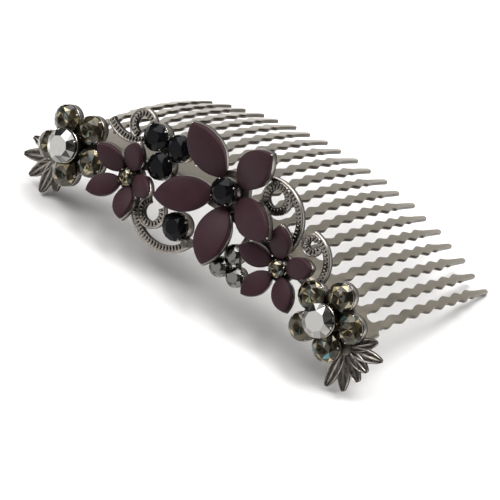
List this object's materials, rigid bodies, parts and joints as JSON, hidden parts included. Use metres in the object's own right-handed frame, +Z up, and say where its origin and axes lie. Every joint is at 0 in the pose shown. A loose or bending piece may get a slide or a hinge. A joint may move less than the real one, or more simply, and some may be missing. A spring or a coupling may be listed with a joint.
{
  "type": "decorative hair comb",
  "caption": "Arched metal hair comb with wavy teeth and a jewelled spray of flowers, scrolls and leaves along its front edge.",
  "frame": {"origin": "middle of the comb's footprint, on the surface that it rests on", "axes": "+X along the comb, +Y from the jewels to the tooth tips, +Z up"},
  "size_m": [0.0904, 0.0566, 0.0366],
  "materials": {
    "comb_steel": "satin grey plated sheet steel",
    "antique_casting": "antique silver plating, dark in the recesses",
    "frosted_petal": "frosted aubergine resin",
    "jet_stone": "faceted jet black glass",
    "hematite_stone": "faceted mirror-grey glass",
    "smoke_crystal": "faceted smoke-coloured glass, foil-backed"
  },
  "bodies": {
    "root": {"comb_blank": "comb_steel", "backing_bar": "antique_casting", "left_leaf_spray": "antique_casting", "right_leaf_spray": "antique_casting", "left_crystal_flower_cups": "antique_casting", "right_crystal_flower_cups": "antique_casting", "left_small_flower_cups": "antique_casting", "right_small_flower_cups": "antique_casting", "centre_flower_cups": "antique_casting", "jet_cluster_cups": "antique_casting", "lower_jet_cup": "antique_casting", "bead_trio_cups": "antique_casting", "top_left_scroll": "antique_casting", "lower_left_scroll": "antique_casting", "right_long_scroll": "antique_casting", "right_short_scroll": "antique_casting", "left_crystal_1": "smoke_crystal", "left_crystal_2": "smoke_crystal", "left_crystal_3": "smoke_crystal", "left_crystal_4": "smoke_crystal", "left_crystal_5": "smoke_crystal", "left_hematite": "hematite_stone", "right_crystal_1": "smoke_crystal", "right_crystal_2": "smoke_crystal", "right_crystal_3": "smoke_crystal", "right_crystal_4": "smoke_crystal", "right_crystal_5": "smoke_crystal", "right_hematite": "hematite_stone", "left_small_petal_1": "frosted_petal", "left_small_petal_2": "frosted_petal", "left_small_petal_3": "frosted_petal", "left_small_petal_4": "frosted_petal", "left_small_petal_5": "frosted_petal", "left_small_centre": "smoke_crystal", "right_small_petal_1": "frosted_petal", "right_small_petal_2": "frosted_petal", "right_small_petal_3": "frosted_petal", "right_small_petal_4": "frosted_petal", "right_small_petal_5": "frosted_petal", "right_small_centre": "smoke_crystal", "large_petal_1": "frosted_petal", "large_petal_2": "frosted_petal", "large_petal_3": "frosted_petal", "large_petal_4": "frosted_petal", "large_petal_5": "frosted_petal", "centre_jet": "jet_stone", "jet_1": "jet_stone", "jet_2": "jet_stone", "jet_3": "jet_stone", "lower_jet": "jet_stone", "grey_bead_1": "hematite_stone", "grey_bead_2": "hematite_stone", "grey_bead_3": "hematite_stone"}
  },
  "joints": []
}
